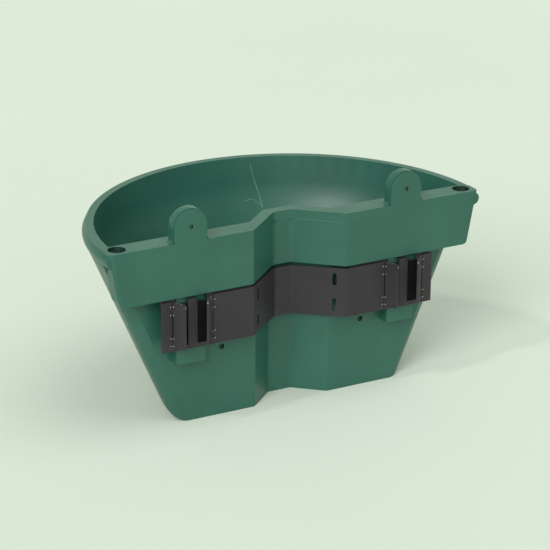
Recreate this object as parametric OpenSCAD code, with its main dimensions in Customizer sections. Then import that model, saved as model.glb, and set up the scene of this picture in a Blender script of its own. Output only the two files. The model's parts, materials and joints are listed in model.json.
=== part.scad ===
// Half-moon wall feed bucket on a folded steel bracket strip.
// Wall side faces -Y, curved front faces +Y, base on z = 0.

/* [Tub] */
// Outer radius of the rolled rim, mm
rim_radius = 260; // [215:0.5:314]
// Height of the rim above the base, mm
tub_height = 242; // [222:0.5:292]
// Outer radius of the curved wall at the base, mm
base_radius = 161.5; // [134:0.5:194]
// Distance of the half-moon centre in front of the wall face, mm
axis_y = 14.5; // [10:0.5:18]
// Wall thickness of the moulding, mm
wall = 4; // [3.2:0.1:5]
// Thickness of the flat floor, mm
floor_thickness = 4.5; // [3.5:0.1:6]
// Set back of the drawn-in back wall from the wall face, mm
back_y = 20; // [18:0.5:24]
// Radius of the upright corners at both ends of the back wall, mm
corner_radius = 17; // [13:0.5:22]
// Height of the rolled rim, mm
rim_band = 21; // [18:0.5:26]
// Height of the upright band inside the mouth, mm
mouth_band = 34; // [28:0.5:42]

/* [Ledge] */
// Height of the hollow ledge round the top of the back, mm
ledge_height = 69.5; // [62:0.5:72]
// Half width of the ledge at its top, mm
ledge_half = 257; // [252:0.5:258]
// How far each ledge end leans in toward its lower edge, mm
ledge_lean = 13; // [6:0.5:15]
// Radius of the lower corners of the ledge, mm
ledge_corner = 10; // [8:0.5:20]
// Thickness of the ledge skin, mm
ledge_skin = 4; // [3.2:0.1:4.8]
// Diameter of the round holes in the ledge top, mm
top_hole = 22; // [16:0.5:24]
// Distance of the ledge top holes from the middle, mm
top_hole_x = 240.5; // [234:0.5:242]

/* [Notch] */
// Half width of the notch at the wall face, mm
notch_mouth = 65; // [58:0.5:68]
// Half width of the notch at its inner end, mm
notch_apex = 12.5; // [10:0.5:15]
// Depth of the notch, mm
notch_depth = 47; // [42:0.5:52]

/* [Ears] */
// Distance of each ear from the middle, mm
ear_x = 150; // [140:0.5:160]
// Half width of an ear, mm
ear_half = 23; // [20:0.5:27]
// Height of the ear hole above the ledge, mm
ear_hole_z = 18.5; // [16:0.5:22]
// Depth of an ear, mm
ear_depth = 14; // [11:0.5:17]
// Diameter of the ear screw hole, mm
ear_hole = 6; // [5:0.1:7.5]

/* [Back wall] */
// Distance of each low screw hole from the middle, mm
low_hole_x = 98.5; // [85:0.5:110]
// Height of the low screw holes, mm
low_hole_z = 90; // [80:0.5:98]
// Diameter of the low screw holes, mm
low_hole = 7; // [5:0.1:8.5]
// Half width of a raised pad, mm
pad_half = 19.5; // [17:0.5:20]
// Height of the lower edge of the pads, mm
pad_z = 83.5; // [76:0.5:96]

/* [Bracket strip] */
// Thickness of the strip, mm
steel = 3; // [2.5:0.1:3.2]
// Height of the strip, mm
strip_height = 64; // [54:0.5:72]
// Half length of the strip, mm
strip_half = 190; // [182:0.5:205]
// How far the strip stands proud of the wall face of the ledge, mm
strip_proud = 1; // [0.6:0.1:1.4]
// Gap between the top of the strip and the ledge, mm
strip_gap = 3; // [2:0.5:5]
// Length of the upright slots in the strip legs, mm
slot_length = 16; // [12:0.5:20]
// Width of the upright slots in the strip legs, mm
slot_width = 5.2; // [4.2:0.1:6.2]

/* [Swing flaps] */
// Distance of each door unit from the middle, mm
unit_x = 148.25; // [146:0.25:150]
// Distance between the two bend lines of a door unit, mm
unit_span = 53.5; // [50:0.5:56]
// Length of a flap from its bend line, mm
flap_length = 20; // [16.5:0.5:21]
// Opening angle of the left-hand flaps, degrees
flap_angle = 64; // [50:1:75]
// Opening angle of the right-hand flaps, degrees
tab_angle = 48; // [35:1:65]
// Height of the sill under the flaps, mm
sill = 5; // [4:0.5:7]
// Running clearance round the hinge beads, mm
bead_clear = 0.08; // [0.04:0.01:0.1]

/* [Hidden] */
green = [0.24, 0.44, 0.37];
black = [0.23, 0.23, 0.24];
dark = [0.08, 0.08, 0.09];
$fn = 96;
fillet_steps = 8;
origin_y = (back_y + axis_y + base_radius) / 2;
far = 500;

shoulder_z = tub_height - rim_band;
shoulder_radius = rim_radius - 4.5;
cone_angle = atan((shoulder_radius - base_radius) / shoulder_z);
mouth_z = tub_height - mouth_band;
ledge_z = tub_height - ledge_height;
skin_y = wall / cos(cone_angle);
base_round = 28;
slope = tan(cone_angle);
inner_base = base_radius - skin_y;
mouth_radius = inner_base + mouth_z * slope;
corner_ease = 0.35;
roll_r = 8;
strip_top = ledge_z - strip_gap;
strip_bottom = strip_top - strip_height;
leg_gap = 6;
lip_depth = 5;
lip_height = 8;
apex_lag = 4;
slide_gap = 0.2;
bead_r = steel / 2;
hinge_y = steel / 2 - strip_proud;
slot_half = 1;
// chamfer inside each bend, so that a flap clears its slot edge when it is square to the strip
bend_relief = steel - 2 * slot_half + 0.2;
notch_z = 6;
bridge_z = 10.5;
free_gap = 0.5;
flap_bottom = strip_bottom + sill + free_gap;
hanger_steel = 3;
hanger_y = steel - strip_proud + 0.05;
upper_y = ledge_skin + slide_gap;
pad_y = hanger_y + hanger_steel + slide_gap;
pad_gap = 2;

function unit(v) = v / norm(v);
function left_of(v) = [-v[1], v[0]];

// points of a rounded corner at b between a and c
function fillet(a, b, c, r) =
  let (u = unit(a - b), w = unit(c - b), h = acos(u * w) / 2, d = r / tan(h),
       m = b + unit(u + w) * r / sin(h), p = b + u * d - m, q = b + w * d - m,
       s = atan2(p[1], p[0]), t = atan2(q[1], q[0]), sweep = (t - s + 540) % 360 - 180)
  [for (i = [0:fillet_steps]) m + r * [cos(s + sweep * i / fillet_steps),
                                       sin(s + sweep * i / fillet_steps)]];

// closed outline with the corner radii rr
function rounded(p, rr) = let (n = len(p))
  [for (i = [0:n - 1]) each (rr[i] == 0 ? [p[i]]
    : fillet(p[(i + n - 1) % n], p[i], p[(i + 1) % n], rr[i]))];

// open line moved sideways by d
function shifted(p, d) = let (n = len(p),
    u = [for (i = [0:n - 2]) left_of(unit(p[i + 1] - p[i]))])
  [for (i = [0:n - 1]) i == 0 ? p[0] + u[0] * d
    : i == n - 1 ? p[i] + u[n - 2] * d
    : p[i] + (u[i - 1] + u[i]) * d / (1 + u[i - 1] * u[i])];

function mirrored(p) = concat(p, [for (i = [len(p) - 1:-1:0]) [-p[i][0], p[i][1]]]);

// wall-face line of the ledge, body wall line and strip face line, left to right
ledge_line = mirrored([[-far, 0], [-notch_mouth, 0], [-notch_apex, notch_depth]]);
leg_dir = unit([notch_mouth - notch_apex, notch_depth]);
leg_in = left_of(leg_dir);
body_leg = [-notch_mouth, 0] + leg_in * leg_gap;
body_corner = body_leg + leg_dir * (back_y - body_leg[1]) / leg_dir[1];
apex_y = notch_depth + leg_gap - 1;
body_apex = body_leg + leg_dir * (apex_y - body_leg[1]) / leg_dir[1];
body_line = mirrored([[-far, back_y], body_corner, body_apex]);
strip_line = mirrored([[-strip_half, -strip_proud], [-notch_mouth - 0.5, -strip_proud],
                       [-notch_apex + 0.5, notch_depth - apex_lag]]);

// solid in front of a body line, used to trim the half moon
module half_plan(d, r1, r2) {
  p = shifted(body_line, d);
  translate([0, 0, -1]) linear_extrude(tub_height + 3)
    polygon(rounded(concat(p, [[far, far], [-far, far]]), [0, r1, r2, r2, r1, 0, 0, 0]));
}

// rounds the two upright back corners to radius r round the same leaning line
module corner_cut(r, x = 1) {
  cy = back_y + corner_radius - axis_y;
  h = corner_radius / cos(cone_angle);
  x0 = sqrt(pow(base_radius - h, 2) - cy * cy);
  x1 = sqrt(pow(shoulder_radius - h, 2) - cy * cy);
  lean = atan((x1 - x0) / shoulder_z);
  out = atan2(cy, (x0 + x1) / 2) * cos(cone_angle);
  s = shoulder_z / cos(lean);
  mirror([x < 0 ? 1 : 0, 0, 0]) translate([x0, back_y + corner_radius, 0]) rotate([0, lean, 0])
    translate([0, 0, -20]) linear_extrude(s + 60) difference() {
      polygon([[0, 0], [0, -1.7 * corner_radius],
               2.3 * corner_radius * [cos(45), -sin(45)],
               1.7 * corner_radius * [cos(out), sin(out)]]);
      circle(r + corner_ease);
    }
}

// half moon body before its back corners are rounded
module shell_outer() {
  difference() {
    intersection() {
      translate([0, axis_y, 0]) rotate_extrude($fn = 180)
        polygon([[0, 0],
                 each fillet([0, 0], [base_radius, 0], [shoulder_radius, shoulder_z], base_round),
                 [shoulder_radius, shoulder_z], [shoulder_radius, tub_height], [0, tub_height]]);
      half_plan(0, 7, 5);
    }
    intersection() {
      for (s = [-1, 1]) corner_cut(corner_radius, s);
      translate([-far, 0, -30]) cube([2 * far, far, 30 + ledge_z + 12]);
    }
  }
}

module shell_inner() {
  difference() {
    intersection() {
      translate([0, axis_y, 0]) rotate_extrude($fn = 180)
        polygon([[0, floor_thickness],
                 each fillet([0, floor_thickness],
                             [inner_base + floor_thickness * slope, floor_thickness],
                             [mouth_radius, mouth_z], base_round - wall),
                 [mouth_radius, mouth_z], [mouth_radius, tub_height + 2], [0, tub_height + 2]]);
      half_plan(wall, 7 + wall, 8 - wall);
    }
    difference() {
      translate([-far, 0, tub_height - lip_height]) cube([2 * far, 2 * far, far]);
      half_plan(wall + lip_depth, 9 + wall, 4);
    }
    for (s = [-1, 1]) corner_cut(corner_radius - wall, s);
  }
}

// rolled rim: inner lip with a rounded top and a fuller roll outside it
module rim_ring() {
  inner = mouth_radius - 1;
  lip = shoulder_radius - 1.5 - inner;
  intersection() {
    translate([0, axis_y, 0]) rotate_extrude($fn = 180) {
      translate([inner, shoulder_z - 4]) square([lip, rim_band + 4 - 3.5]);
      translate([inner, shoulder_z]) square([lip - 3.5, rim_band]);
      translate([inner + lip - 3.5, tub_height - 3.5]) circle(3.5, $fn = 48);
    }
    translate([-far, back_y - 3, 0]) cube([2 * far, far, 2 * far]);
  }
  intersection() {
    translate([0, axis_y, 0]) rotate_extrude($fn = 180) intersection() {
      translate([rim_radius - roll_r, tub_height - roll_r - 3.2]) circle(roll_r, $fn = 64);
      translate([rim_radius - roll_r, 0]) square([20, 2 * tub_height]);
    }
    translate([-far, 2, 0]) cube([2 * far, far, 2 * far]);
  }
}

// side outline of the ledge seen square on, grown or shrunk by d at the ends
module ledge_front(d) {
  a = ledge_half + d;
  b = ledge_half - ledge_lean + d;
  r = ledge_corner + d;
  rotate([90, 0, 0]) translate([0, 0, -120]) linear_extrude(140)
    polygon(rounded([[-a, tub_height + 1], [-b, d < 0 ? ledge_z - far : ledge_z],
                     [b, d < 0 ? ledge_z - far : ledge_z], [a, tub_height + 1]],
                    [0, d < 0 ? 0 : r, d < 0 ? 0 : r, 0]));
}

module ledge_block() {
  p = shifted(ledge_line, 0);
  e = ledge_half + 4;
  back = 22;
  intersection() {
    translate([0, 0, ledge_z]) linear_extrude(ledge_height)
      polygon(rounded([[-e, 0], p[1], p[2], p[3], p[4], [e, 0], [e, back], [76, back],
                       [76, apex_y + 2], [-76, apex_y + 2], [-76, back], [-e, back]],
                      [0, 5, 14, 14, 5, 0, 0, 0, 0, 0, 0, 0]));
    ledge_front(0);
    ledge_plan_ends();
  }
}

// rounds the two upright front edges of the ledge ends, which lean with the ends
module ledge_plan_ends() {
  r = 5;
  lean = atan(ledge_lean / ledge_height);
  difference() {
    translate([-far, -5, 0]) cube([2 * far, 200, 2 * far]);
    for (s = [-1, 1]) mirror([s < 0 ? 1 : 0, 0, 0])
      translate([ledge_half, 0, tub_height]) rotate([0, lean, 0])
        translate([0, 0, -ledge_height * 1.4]) linear_extrude(ledge_height * 1.6)
          difference() { translate([-r, -6]) square([r + 6, r + 6]); translate([-r, r]) circle(r); }
  }
}

// hollow under each flat length of the ledge, open at the bottom
module ledge_pocket() {
  near = notch_mouth + 6;
  e = ledge_half - ledge_skin;
  for (s = [-1, 1]) mirror([s < 0 ? 1 : 0, 0, 0])
    rotate([90, 0, 0]) translate([0, 0, -40]) linear_extrude(40 - ledge_skin)
      polygon([[near, ledge_z - 1], [near, tub_height - ledge_skin], [e, tub_height - ledge_skin],
               [e - ledge_lean - 0.2, ledge_z - 1]]);
}

// upright face outline of one ear standing on the ledge
module ear_face(d) {
  r = ear_half - d;
  h = ear_hole_z;
  translate([0, h]) circle(r);
  translate([-r, -3]) square([2 * r, h + 3]);
}

module ear(x) {
  foot = 4;
  translate([x, 0, tub_height]) difference() {
    union() {
      rotate([90, 0, 0]) translate([0, 0, -ear_depth]) linear_extrude(ear_depth - 2) ear_face(0);
      rotate([90, 0, 0]) translate([0, 0, -3]) linear_extrude(3) ear_face(1.2);
      for (s = [-1, 1]) mirror([s < 0 ? 1 : 0, 0, 0])
        rotate([90, 0, 0]) translate([0, 0, -ear_depth]) linear_extrude(ear_depth - 2)
          difference() {
            translate([ear_half - 0.1, -1]) square([foot + 0.1, foot + 1]);
            translate([ear_half + foot, foot]) circle(foot);
          }
    }
    rotate([90, 0, 0]) translate([0, 0, -ear_depth - 1])
      linear_extrude(ear_depth + 1 - ledge_skin) intersection() {
        ear_face(ledge_skin - 0.5);
        translate([-ear_half, 0]) square([2 * ear_half, 80]);
      }
    translate([0, -1, ear_hole_z]) rotate([-90, 0, 0]) cylinder(h = 20, d = ear_hole, $fn = 40);
  }
}

// raised pad that backs up one door unit, upright against the back wall
module pad(x) {
  translate([x - pad_half, pad_y, pad_z])
    cube([2 * pad_half, back_y + 1 - pad_y, tub_height - ledge_skin / 2 - pad_z]);
}

module tub() {
  color(green) difference() {
    union() {
      difference() { ledge_block(); ledge_pocket(); }
      shell_outer();
      rim_ring();
      for (s = [-1, 1]) { ear(s * ear_x); pad(s * unit_x); }
    }
    shell_inner();
    for (s = [-1, 1]) {
      translate([s * top_hole_x, 15.5, tub_height - ledge_skin - 1])
        cylinder(h = ledge_skin + 4, d = top_hole, $fn = 64);
      translate([s * low_hole_x, back_y - 2, low_hole_z]) rotate([-90, 0, 0])
        cylinder(h = wall + 4, d = low_hole, $fn = 40);
    }
  }
}

// z spans of the bridges in a bend line
flap_height = strip_top - flap_bottom;
bridges = [for (t = [notch_z, flap_height - 1 - bridge_z]) strip_top - t - bridge_z];

// bend lines: [x, side the flap lies on, opening angle]
hinges = [[-unit_x - unit_span / 2, 1, flap_angle], [-unit_x + unit_span / 2, -1, tab_angle],
          [unit_x - unit_span / 2, 1, flap_angle], [unit_x + unit_span / 2, -1, tab_angle]];

module slot_cut() {
  rotate([-90, 0, 0]) translate([0, 0, -6]) linear_extrude(12) {
    for (s = [-1, 1]) translate([0, s * (slot_length - slot_width) / 2])
      circle(d = slot_width, $fn = 40);
    square([slot_width, slot_length - slot_width], center = true);
  }
}

module strip() {
  p = strip_line;
  q = shifted(strip_line, steel);
  along = unit(p[2] - p[1]);
  color(black) difference() {
    translate([0, 0, strip_bottom]) linear_extrude(strip_height)
      polygon(rounded([p[0], p[1], p[2], p[3], p[4], p[5], q[5], q[4], q[3], q[2], q[1], q[0]],
                      [0.6, 6, 8, 8, 6, 0.6, 0.6, 3, 11, 11, 3, 0.6]));
    for (h = hinges) {
      w = flap_length + free_gap + slot_half;
      translate([h[1] > 0 ? h[0] - slot_half : h[0] + slot_half - w, -5, strip_bottom + sill])
        cube([w, 12, strip_height]);
      for (b = bridges) translate([h[0], hinge_y, b])
        cylinder(h = bridge_z, r = bead_r + bead_clear, $fn = 40);
    }
    for (s = [-1, 1], z = [strip_top - 15, strip_bottom + 15.5])
      mirror([s > 0 ? 1 : 0, 0, 0])
        translate([p[1][0] + 15 * along[0], p[1][1] + 15 * along[1], z])
          rotate([0, 0, atan2(along[1], along[0])]) slot_cut();
  }
}

// one flap, hinge bead on its own axis, opened outward by its angle
module swing(h) {
  low = flap_bottom;
  inner = bend_relief - bead_r;
  color(black) translate([h[0], hinge_y, 0]) mirror([h[1] > 0 ? 0 : 1, 0, 0])
    rotate([0, 0, -h[2]]) difference() {
      union() {
        translate([0, 0, low]) linear_extrude(flap_height)
          polygon([[slot_half, inner], [slot_half + bend_relief, -bead_r], [flap_length, -bead_r],
                   [flap_length, bead_r], [slot_half, bead_r]]);
        for (b = bridges) {
          translate([0, 0, b + 0.2]) cylinder(h = bridge_z - 0.4, r = bead_r, $fn = 40);
          translate([0, inner, b + 0.2]) cube([slot_half + 0.5, bead_r - inner, bridge_z - 0.4]);
        }
      }
      for (z = [low, strip_top]) translate([flap_length, 0, z]) rotate([90, 45, 0])
        cube([1.6, 1.6, 12], center = true);
    }
}

module flap_left() { swing(hinges[0]); }
module tab_left() { swing(hinges[1]); }
module flap_right() { swing(hinges[2]); }
module tab_right() { swing(hinges[3]); }

// inner hanger plate: low part behind the strip, two uprights inside the ledge
module hanger(s) {
  x0 = notch_mouth + 7;
  x1 = unit_x - pad_half - pad_gap;
  x2 = unit_x + pad_half + pad_gap;
  x3 = strip_half - 1.5;
  low = strip_bottom + 3;
  knee = strip_top - 3.5;
  top = tub_height - ledge_skin - 0.05;
  color(dark) mirror([s < 0 ? 1 : 0, 0, 0]) {
    translate([x0, hanger_y, low]) cube([x3 - x0, hanger_steel, knee - 3 - low]);
    for (x = [[x0, x1], [x2, x3]]) {
      translate([x[0], hanger_y, knee - 4])
        cube([x[1] - x[0], upper_y + hanger_steel - hanger_y, 4]);
      translate([x[0], upper_y, knee - 2]) cube([x[1] - x[0], hanger_steel, top - knee + 2]);
    }
  }
}

module hanger_left() { hanger(-1); }
module hanger_right() { hanger(1); }

// moves the origin from the wall face to the middle of the base
module placed() { translate([0, -origin_y, 0]) children(); }

placed() tub();
placed() strip();
placed() hanger_left();
placed() hanger_right();
placed() flap_left();
placed() flap_right();
placed() tab_left();
placed() tab_right();
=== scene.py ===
import json
import math
import random

import bmesh
import bpy
from mathutils import Matrix, Vector


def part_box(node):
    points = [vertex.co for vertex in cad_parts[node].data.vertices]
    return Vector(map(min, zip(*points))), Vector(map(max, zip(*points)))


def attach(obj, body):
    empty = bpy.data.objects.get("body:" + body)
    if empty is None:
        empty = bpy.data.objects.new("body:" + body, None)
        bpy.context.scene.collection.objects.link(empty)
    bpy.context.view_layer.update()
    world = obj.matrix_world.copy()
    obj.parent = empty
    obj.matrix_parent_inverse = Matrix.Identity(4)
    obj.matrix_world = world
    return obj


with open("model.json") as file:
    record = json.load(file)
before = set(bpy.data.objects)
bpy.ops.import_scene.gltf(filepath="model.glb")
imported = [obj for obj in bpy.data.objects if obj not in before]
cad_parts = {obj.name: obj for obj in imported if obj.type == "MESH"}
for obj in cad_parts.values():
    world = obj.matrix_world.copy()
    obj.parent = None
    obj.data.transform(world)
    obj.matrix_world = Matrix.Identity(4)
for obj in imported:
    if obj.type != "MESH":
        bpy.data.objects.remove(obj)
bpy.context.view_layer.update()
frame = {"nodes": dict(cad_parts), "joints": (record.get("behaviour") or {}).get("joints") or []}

MM = 0.001
rng = random.Random(7)

# ---------------------------------------------------------------- places taken from the frame
tub_low, tub_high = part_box("tub")
STRIP_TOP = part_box("strip")[1].z
EAR_HEIGHT = 41.5 * MM            # ear top above the rim
WALL_Y = tub_low.y
RIM_Z = tub_high.z - EAR_HEIGHT
AXIS_Y = WALL_Y + 14.5 * MM       # axis of the tub's cone
MOUTH_Z = RIM_Z - 34 * MM         # the inner wall is upright above this
EAR_X = 150 * MM
EAR_HOLE_Z = RIM_Z + 18.5 * MM
LOW_HOLE = (98.5 * MM, 90 * MM)
LEDGE_HOLE = (240.5 * MM, WALL_Y + 15.5 * MM)
EAR_HOLE_R, LOW_HOLE_R, LEDGE_HOLE_R = 3.1 * MM, 3.6 * MM, 11.1 * MM
HOLE_SHADE_DEPTH = 30 * MM        # screw holes get painted shade this far behind the wall face
LEDGE_HOLE_SHADE = 20 * MM        # ledge holes get painted shade this far below the rim
INNER_BASE = 157.15               # inner radius at the base, mm, and its growth with height
INNER_SLOPE = 0.42534
LEDGE_MARK_END = 252 * MM
NOTCH = [(-65, 0), (-12.5, 47), (12.5, 47), (65, 0)]
SHEET = 1.5 * MM                  # half the steel's thickness
FLAP_LENGTH = 20 * MM
JOINTS = {j["name"]: j for j in frame["joints"]}


# ---------------------------------------------------------------- material helpers
class Nodes:
    """A material's node tree with short calls for the nodes used here."""

    def __init__(self, name):
        self.mat = bpy.data.materials.new(name)
        self.mat.use_nodes = True
        self.tree = self.mat.node_tree
        self.shader = self.tree.nodes["Principled BSDF"]
        self.coords = self.tree.nodes.new("ShaderNodeTexCoord").outputs["Object"]

    def link(self, a, b):
        self.tree.links.new(a, b)

    def noise(self, scale, detail=4.0, rough=0.55, stretch=(1, 1, 1)):
        mapping = self.tree.nodes.new("ShaderNodeMapping")
        mapping.inputs["Scale"].default_value = stretch
        self.link(self.coords, mapping.inputs["Vector"])
        n = self.tree.nodes.new("ShaderNodeTexNoise")
        n.inputs["Scale"].default_value = scale
        n.inputs["Detail"].default_value = detail
        n.inputs["Roughness"].default_value = rough
        self.link(mapping.outputs["Vector"], n.inputs["Vector"])
        return n.outputs["Fac"]

    def ramp(self, fac, stops):
        r = self.tree.nodes.new("ShaderNodeValToRGB")
        while len(r.color_ramp.elements) < len(stops):
            r.color_ramp.elements.new(0.5)
        for e, (pos, colour) in zip(r.color_ramp.elements, stops):
            e.position = pos
            e.color = (*colour, 1.0)
        self.link(fac, r.inputs["Fac"])
        return r.outputs["Color"]

    def grey(self, fac, low, high, start=0.0, end=1.0):
        m = self.tree.nodes.new("ShaderNodeMapRange")
        m.inputs["From Min"].default_value = start
        m.inputs["From Max"].default_value = end
        m.inputs["To Min"].default_value = low
        m.inputs["To Max"].default_value = high
        self.link(fac, m.inputs["Value"])
        return m.outputs["Result"]

    def math(self, op, a, b=None):
        m = self.tree.nodes.new("ShaderNodeMath")
        m.operation = op
        for socket, v in zip(m.inputs, (a, b)):
            if isinstance(v, (int, float)):
                socket.default_value = v
            elif v is not None:
                self.link(v, socket)
        return m.outputs["Value"]

    def mix(self, fac, a, b):
        m = self.tree.nodes.new("ShaderNodeMix")
        m.data_type = "RGBA"
        self.link(fac, m.inputs["Factor"])
        for socket, v in ((m.inputs["A"], a), (m.inputs["B"], b)):
            if isinstance(v, tuple):
                socket.default_value = (*v, 1.0)
            else:
                self.link(v, socket)
        return m.outputs["Result"]

    def axis(self, name):
        s = self.tree.nodes.new("ShaderNodeSeparateXYZ")
        self.link(self.coords, s.inputs["Vector"])
        return s.outputs[name]

    def near_line(self, across, up, x, y, radius):
        """1 within radius of the two lines along the third axis through (x, y) and (-x, y)."""
        dx = self.math("SUBTRACT", self.math("ABSOLUTE", self.axis(across)), x)
        dy = self.math("SUBTRACT", self.axis(up), y)
        away = self.math("ADD", self.math("MULTIPLY", dx, dx), self.math("MULTIPLY", dy, dy))
        return self.math("LESS_THAN", away, radius * radius)

    def bump(self, height, strength, distance):
        b = self.tree.nodes.new("ShaderNodeBump")
        b.inputs["Strength"].default_value = strength
        b.inputs["Distance"].default_value = distance
        self.link(height, b.inputs["Height"])
        self.link(b.outputs["Normal"], self.shader.inputs["Normal"])

    def colour(self, value):
        self.link(value, self.shader.inputs["Base Color"])

    def set(self, **values):
        for key, v in values.items():
            self.shader.inputs[key.replace("_", " ")].default_value = v


def srgb(r, g, b):
    """Linear colour of an 8 bit sRGB triple."""
    return tuple((c / 255 / 12.92) if c <= 10 else ((c / 255 + 0.055) / 1.055) ** 2.4 for c in (r, g, b))


# ---------------------------------------------------------------- materials
def green_plastic():
    n = Nodes("green_plastic")
    cloud = n.noise(9, 5, 0.6)
    flow = n.noise(16, 3, 0.5, (1, 1, 0.12))
    base = n.ramp(cloud, [(0.3, (0.019, 0.104, 0.074)), (0.55, (0.024, 0.121, 0.087)),
                          (0.75, (0.030, 0.134, 0.098))])
    streaked = n.mix(n.grey(flow, 0.0, 0.22, 0.42, 0.75), base, (0.018, 0.078, 0.062))
    speck = n.noise(900, 2, 0.5)
    dusty = n.mix(n.grey(speck, 0.0, 0.16, 0.62, 0.78), streaked, (0.10, 0.21, 0.17))
    # painted shade: the insides of the ear, low and ledge holes are coloured near-black, standing for the
    # deep shade in them
    ear_holes = n.near_line("X", "Z", EAR_X, EAR_HOLE_Z, EAR_HOLE_R)
    low_holes = n.near_line("X", "Z", *LOW_HOLE, LOW_HOLE_R)
    ends = n.near_line("X", "Y", *LEDGE_HOLE, LEDGE_HOLE_R)
    near_wall = n.math("LESS_THAN", n.axis("Y"), WALL_Y + HOLE_SHADE_DEPTH)
    screw_hole_shade = n.math("MULTIPLY", n.math("MAXIMUM", ear_holes, low_holes), near_wall)
    near_top = n.math("GREATER_THAN", n.axis("Z"), RIM_Z - LEDGE_HOLE_SHADE)
    painted_hole_shade = n.math("MAXIMUM", screw_hole_shade, n.math("MULTIPLY", n.math("MULTIPLY", ends, near_top), 0.75))
    # painted shade mixed into the plastic colour inside the holes
    n.colour(n.mix(painted_hole_shade, dusty, (0.002, 0.004, 0.003)))
    scratch = n.noise(60, 8, 0.75, (0.35, 1, 3.0))
    n.link(n.grey(scratch, 0.26, 0.5), n.shader.inputs["Roughness"])
    fine = n.noise(1400, 3, 0.6)
    height = n.math("ADD", n.math("MULTIPLY", fine, 0.35), n.math("MULTIPLY", scratch, 0.65))
    n.bump(height, 0.2, 0.0005)
    n.set(IOR=1.51)
    return n.mat


def worn_green(name, colour):
    n = Nodes(name)
    broken = n.noise(700, 4, 0.6)
    n.colour(n.ramp(broken, [(0.3, srgb(86, 132, 116)), (0.65, colour)]))
    n.link(n.grey(broken, 0.45, 0.65), n.shader.inputs["Roughness"])
    n.bump(broken, 0.3, 0.0002)
    return n.mat


def powder_coat():
    n = Nodes("black_powder_coat")
    cloud = n.noise(22, 4, 0.6)
    base = n.ramp(cloud, [(0.3, (0.0205, 0.0165, 0.0225)), (0.7, (0.0295, 0.0245, 0.0315))])
    grain = n.noise(1700, 2, 0.5)
    dusted = n.mix(n.grey(grain, 0.0, 0.25, 0.6, 0.8), base, (0.09, 0.088, 0.093))
    rubbed = n.noise(70, 6, 0.7, (1, 1, 0.35))
    n.colour(n.mix(n.grey(rubbed, 0.0, 0.5, 0.66, 0.8), dusted, (0.10, 0.097, 0.105)))
    n.link(n.grey(cloud, 0.42, 0.56), n.shader.inputs["Roughness"])
    n.bump(grain, 0.35, 0.0003)
    n.set(IOR=1.48)
    return n.mat


def hanger_shade_paint():
    """Hanger colour with painted light: near-black painted shade below the strip's top edge, standing for the
    deep shade seen through the windows, and a lighter painted lit grey above it.
    """
    n = Nodes("hanger_painted_shade")
    cloud = n.noise(40, 4, 0.6)
    dark = n.ramp(cloud, [(0.3, srgb(14, 12, 14)), (0.7, srgb(20, 18, 20))])
    # painted light: the colour steps from the near-black painted shade to a lighter grey just below the
    # strip's top edge
    top = n.grey(n.axis("Z"), 0.0, 1.0, STRIP_TOP - 7 * MM, STRIP_TOP - 5 * MM)
    n.colour(n.mix(top, dark, srgb(74, 73, 76)))
    n.link(n.grey(cloud, 0.75, 0.92), n.shader.inputs["Roughness"])
    n.bump(n.noise(1500, 2, 0.5), 0.3, 0.0003)
    n.set(Specular_IOR_Level=0.2)
    return n.mat


def glint_paint_steel():
    # painted highlight: a bright steel colour standing for the glints on the coat's cut edges and bend lines
    n = Nodes("glint_paint_steel")
    glint_noise = n.noise(500, 4, 0.6, (1, 1, 4))
    n.colour(n.ramp(glint_noise, [(0.3, srgb(150, 150, 152)), (0.7, srgb(225, 226, 228))]))
    n.link(n.grey(glint_noise, 0.25, 0.5), n.shader.inputs["Roughness"])
    n.bump(glint_noise, 0.3, 0.0002)
    n.set(Metallic=0.85)
    return n.mat


def studio_paper():
    n = Nodes("studio_paper")
    n.colour(n.ramp(n.noise(1.2, 2, 0.5), [(0.3, srgb(214, 222, 209)), (0.7, srgb(217, 225, 212))]))
    n.set(Roughness=0.9, Specular_IOR_Level=0.1)
    return n.mat


GREEN = green_plastic()
PALE_LINE = worn_green("pale_flow_line", srgb(122, 160, 145))
SCUFF = worn_green("pale_scuff", srgb(104, 148, 131))
POWDER = powder_coat()
HANGER_PAINTED_SHADE = hanger_shade_paint()
GLINT_PAINT = glint_paint_steel()
PAPER = studio_paper()


def dress(node, material):
    mesh = frame["nodes"][node].data
    mesh.materials.clear()
    mesh.materials.append(material)


def soften(node, width, segments=2):
    """Round a node's hard edges a little, so that they catch the light."""
    obj = frame["nodes"][node]
    weld = obj.modifiers.new("weld", "WELD")
    weld.merge_threshold = 0.00001
    bevel = obj.modifiers.new("bevel", "BEVEL")
    bevel.width = width
    bevel.segments = segments
    bevel.limit_method = "ANGLE"
    bevel.angle_limit = math.radians(35)
    bevel.use_clamp_overlap = True
    bevel.harden_normals = True
    bevel.miter_outer = "MITER_ARC"


dress("tub", GREEN)
soften("tub", 1.9 * MM, 3)
for name in ("strip", "flap_left", "flap_right", "tab_left", "tab_right"):
    soften(name, 0.35 * MM)
# the hangers get the painted shade colour with a painted lit top
for name in ("hanger_left", "hanger_right"):
    dress(name, HANGER_PAINTED_SHADE)
for name in ("strip", "flap_left", "flap_right", "tab_left", "tab_right"):
    dress(name, POWDER)


# ---------------------------------------------------------------- mesh helpers
def piece(name, bm, material, body):
    """A finished mesh that rides on a body."""
    mesh = bpy.data.meshes.new(name)
    bmesh.ops.recalc_face_normals(bm, faces=bm.faces)
    bm.to_mesh(mesh)
    bm.free()
    for p in mesh.polygons:
        p.use_smooth = True
    mesh.materials.append(material)
    obj = bpy.data.objects.new(name, mesh)
    bpy.context.scene.collection.objects.link(obj)
    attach(obj, body)
    return obj


RIDGE_SIDES = 5


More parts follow.
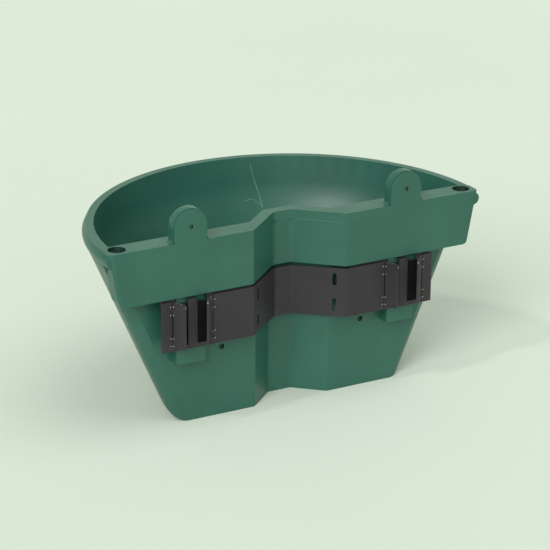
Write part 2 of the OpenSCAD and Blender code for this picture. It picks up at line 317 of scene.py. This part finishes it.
def ridge(bm, path, normals, half_width, height):
    """A low rounded ridge along path, standing height proud along each normal, sunk a little at its edges."""
    rings = []
    for i, (p, up) in enumerate(zip(path, normals)):
        along = (path[min(i + 1, len(path) - 1)] - path[max(i - 1, 0)]).normalized()
        side = along.cross(up).normalized()
        taper = min(1.0, 0.25 + min(i, len(path) - 1 - i) / 3)
        ring = []
        for k in range(RIDGE_SIDES + 1):
            a = math.pi * k / RIDGE_SIDES
            ring.append(bm.verts.new(p + side * math.cos(a) * half_width * taper
                                     + up * (math.sin(a) * height * taper - 0.15 * MM)))
        ring.append(bm.verts.new(p - up * 0.5 * MM))
        rings.append(ring)
    n = RIDGE_SIDES + 2
    for a, b in zip(rings, rings[1:]):
        for k in range(n):
            bm.faces.new((a[k], a[(k + 1) % n], b[(k + 1) % n], b[k]))
    bm.faces.new(rings[0])
    bm.faces.new(rings[-1])


def dome(bm, centre, up, radius, height, squash=1.0):
    """A small raised lump, a bent half ball with uneven edges."""
    rings, sectors = 3, 9
    side = up.orthogonal().normalized()
    other = up.cross(side)
    uneven = [1 + rng.uniform(-0.22, 0.22) for _ in range(sectors)]
    top = bm.verts.new(centre + up * height)
    loops = []
    for i in range(1, rings + 1):
        a = math.pi / 2 * i / rings
        loops.append([bm.verts.new(centre + up * (height * math.cos(a) - (0.2 * MM if i == rings else 0))
                                   + (side * math.cos(t) + other * math.sin(t) * squash)
                                   * radius * math.sin(a) * u)
                      for t, u in ((2 * math.pi * s / sectors, uneven[s]) for s in range(sectors))])
    for s in range(sectors):
        bm.faces.new((top, loops[0][s], loops[0][(s + 1) % sectors]))
        for a, b in zip(loops, loops[1:]):
            bm.faces.new((a[s], b[s], b[(s + 1) % sectors], a[(s + 1) % sectors]))
    bm.faces.new(list(reversed(loops[-1])))


# ---------------------------------------------------------------- moulding marks on the tub
def flow_line():
    """Pale flow line down the far inner wall, with a short forked foot."""
    def inner(angle, z):
        r = (INNER_BASE + INNER_SLOPE * min(z, MOUTH_Z / MM)) * MM
        out = Vector((math.sin(angle), math.cos(angle), 0))
        return Vector((0, AXIS_Y, z * MM)) + out * r, -out

    bm = bmesh.new()
    # start and end angle in degrees, start and end height and half width in mm
    branches = ((15.0, 19.2, 237, 170, 0.55), (18.8, 15.5, 178, 187, 0.45), (15.5, 12.5, 187, 184, 0.5),
                (19.2, 17.4, 172, 158, 0.5))
    for a0, a1, z0, z1, half in branches:
        path, normals = [], []
        steps = 26
        for i in range(steps + 1):
            t = i / steps
            angle = math.radians(a0 + (a1 - a0) * t) + rng.uniform(-0.0012, 0.0012)
            p, up = inner(angle, z0 + (z1 - z0) * t)
            path.append(p)
            normals.append(up)
        ridge(bm, path, normals, half * MM, 0.25 * MM)
    return piece("flow_line", bm, PALE_LINE, "tub")


def ledge_points():
    """Points and outward directions along the ledge's wall-side line, left to right."""
    ends = LEDGE_MARK_END
    corners = [Vector((-ends, WALL_Y, 0))]
    corners += [Vector((x * MM, WALL_Y + y * MM, 0)) for x, y in NOTCH]
    corners += [Vector((ends, WALL_Y, 0))]
    path, normals = [], []
    for a, b in zip(corners, corners[1:]):
        along = (b - a).normalized()
        out = Vector((along.y, -along.x, 0))
        steps = max(3, int((b - a).length / (12 * MM)))
        cut = 6 * MM / (b - a).length
        for i in range(steps + 1):
            t = cut + (1 - 2 * cut) * i / steps
            path.append(a.lerp(b, t))
            normals.append(out)
    return path, normals


def ledge_step():
    """Faint moulded step along the ledge, a little below its top."""
    path, normals = ledge_points()
    lifted = [p + Vector((0, 0, RIM_Z - 12.5 * MM)) for p in path]
    bm = bmesh.new()
    ridge(bm, lifted, normals, 0.7 * MM, 0.28 * MM)
    return piece("ledge_step", bm, GREEN, "tub")


def ear_marks():
    """A short gate line above each ear hole."""
    bm = bmesh.new()
    for s in (-1, 1):
        foot = Vector((s * EAR_X - 2 * MM, WALL_Y, RIM_Z + 24 * MM))
        path = [foot + Vector((0, 0, 13 * MM * i / 8)) for i in range(9)]
        ridge(bm, path, [Vector((0, -1, 0))] * 9, 0.45 * MM, 0.2 * MM)
    return piece("ear_gate_marks", bm, GREEN, "tub")


def scuffs():
    """Short pale scuffs on the wall side of the ledge."""
    bm = bmesh.new()
    # x, z, length and tilt in mm and degrees
    marks = [(-96, 214, 9, 12), (-88, 206, 14, -24), (-236, 183, 3, 80), (-234, 178, 4, 10),
             (-105, 222, 6, 8), (118, 215, 7, 10), (205, 196, 6, -15)]
    for x, z, length, tilt in marks:
        along = Vector((math.cos(math.radians(tilt)), 0, math.sin(math.radians(tilt))))
        start = Vector((x * MM, WALL_Y, z * MM))
        path = [start + along * length * MM * i / 6 + Vector((0, 0, rng.uniform(-0.15, 0.15) * MM))
                for i in range(7)]
        ridge(bm, path, [Vector((0, -1, 0))] * 7, 0.3 * MM, 0.17 * MM)
    return piece("ledge_scuffs", bm, SCUFF, "tub")


# ---------------------------------------------------------------- painted highlights at the bend lines and flap edges
def flap_frame(joint, side, angle):
    """Hinge point, direction of the flap from it and the flap's outer normal, all at rest."""
    p = Vector(JOINTS[joint]["pos_m"])
    a = math.radians(angle)
    along = Vector((side * math.cos(a), -math.sin(a), 0))
    face = Vector((-side * math.sin(a), -math.cos(a), 0))
    return p, along, face


def bend_line_glints(body, side, angle):
    """Small lumps where the bridges of a bend line meet the cuts, coloured bright as painted highlights."""
    p, along, face = flap_frame(body + "_bend", side, angle)
    top = STRIP_TOP
    heights = (top - 6 * MM, top - 16.5 * MM, top - 47 * MM, top - 57 * MM)
    still, moving = bmesh.new(), bmesh.new()
    for z in heights:
        spot = Vector((p.x - side * 3.0 * MM, p.y - SHEET, z + rng.uniform(-0.3, 0.3) * MM))
        dome(still, spot, Vector((0, -1, 0)), 0.95 * MM, 0.35 * MM, 0.7)
        spot = Vector((p.x, p.y, z)) + along * 2.6 * MM + face * SHEET
        dome(moving, spot, face, 0.95 * MM, 0.35 * MM, 0.7)
    piece(body + "_strip_burrs", still, GLINT_PAINT, "bracket")
    piece(body + "_burrs", moving, GLINT_PAINT, body)


def flap_edge_glint(body, side, angle):
    """Raised strip along the top of a flap and down its free edge, coloured bright as a painted highlight."""
    p, along, face = flap_frame(body + "_bend", side, angle)
    bm = bmesh.new()
    up = Vector((0, 0, 1))
    start = Vector((p.x, p.y, STRIP_TOP)) + face * 0.9 * MM
    path = [start + along * (2.5 + 15.5 * i / 14) * MM + face * rng.uniform(-0.2, 0.2) * MM
            for i in range(15)]
    ridge(bm, path, [up] * 15, 0.55 * MM, 0.22 * MM)
    corner = Vector((p.x, p.y, STRIP_TOP - 1.8 * MM)) + along * FLAP_LENGTH
    run = [corner - up * 4.5 * MM * i / 6 for i in range(7)]
    ridge(bm, run, [along] * 7, 1.1 * MM, 0.2 * MM)
    piece(body + "_glint_edge", bm, GLINT_PAINT, body)


FLAPS = (("flap_left", 1, 64), ("tab_left", -1, 48), ("flap_right", 1, 64), ("tab_right", -1, 48))
flow_line()
ledge_step()
ear_marks()
scuffs()
for flap, side, angle in FLAPS:
    bend_line_glints(flap, side, angle)
    flap_edge_glint(flap, side, angle)


# ---------------------------------------------------------------- studio
def studio_floor():
    """A pale sheet: flat floor that curves up into a backdrop."""
    bm = bmesh.new()
    width, front, back, bend, high = 9.0, -5.0, 10.0, 3.0, 7.0
    profile = [(front, 0.0), (back - bend, 0.0)]
    turns = [math.pi / 2 * i / 16 for i in range(1, 17)]
    profile += [(back - bend + bend * math.sin(t), bend - bend * math.cos(t)) for t in turns]
    profile.append((back, high))
    turn = Matrix.Rotation(math.radians(-29), 3, "Z")
    rows = [[bm.verts.new(turn @ Vector((x, y, z))) for x in (-width, width)] for y, z in profile]
    for a, b in zip(rows, rows[1:]):
        bm.faces.new((a[0], a[1], b[1], b[0]))
    mesh = bpy.data.meshes.new("studio_floor")
    bm.to_mesh(mesh)
    bm.free()
    for p in mesh.polygons:
        p.use_smooth = True
    mesh.materials.append(PAPER)
    obj = bpy.data.objects.new("studio_floor", mesh)
    bpy.context.scene.collection.objects.link(obj)


def sun(name, azimuth, elevation, strength, softness, colour=(1, 1, 1)):
    """A soft light from far away, so that the floor is lit evenly."""
    a, e = math.radians(azimuth), math.radians(elevation)
    back = Vector((math.sin(a) * math.cos(e), -math.cos(a) * math.cos(e), math.sin(e)))
    data = bpy.data.lights.new(name, "SUN")
    data.angle = math.radians(softness)
    data.energy = strength
    data.color = colour
    obj = bpy.data.objects.new(name, data)
    obj.location = back * 3
    obj.rotation_mode = "QUATERNION"
    obj.rotation_quaternion = (-back).to_track_quat("-Z", "Y")
    bpy.context.scene.collection.objects.link(obj)


def camera():
    azimuth, elevation, roll = math.radians(-28.945), math.radians(20.835), math.radians(-0.417)
    back = Vector((math.sin(azimuth) * math.cos(elevation), -math.cos(azimuth) * math.cos(elevation),
                   math.sin(elevation)))
    aim = Vector((-128.9, -169.2 + (WALL_Y / MM), 252.7)) * MM
    data = bpy.data.cameras.new("camera")
    data.sensor_width = 36
    data.lens = 36 * 2559.4 / 550
    obj = bpy.data.objects.new("camera", data)
    obj.location = aim + back * 2.914
    obj.rotation_mode = "QUATERNION"
    turn = (-back).to_track_quat("-Z", "Y")
    obj.rotation_quaternion = turn @ Matrix.Rotation(-roll, 3, "Z").to_quaternion()
    bpy.context.scene.collection.objects.link(obj)
    bpy.context.scene.camera = obj


studio_floor()
sun("key", -52, 33, 1.7, 30)
sun("top", 50, 68, 0.85, 50)
sun("glint", -80, 52, 0.4, 5)
sun("front", -20, 15, 0.28, 40)
world = bpy.data.worlds.new("studio")
world.use_nodes = True
world.node_tree.nodes["Background"].inputs["Color"].default_value = (*srgb(232, 241, 230), 1)
world.node_tree.nodes["Background"].inputs["Strength"].default_value = 0.46
bpy.context.scene.world = world
bpy.context.scene.view_settings.view_transform = "Standard"
camera()
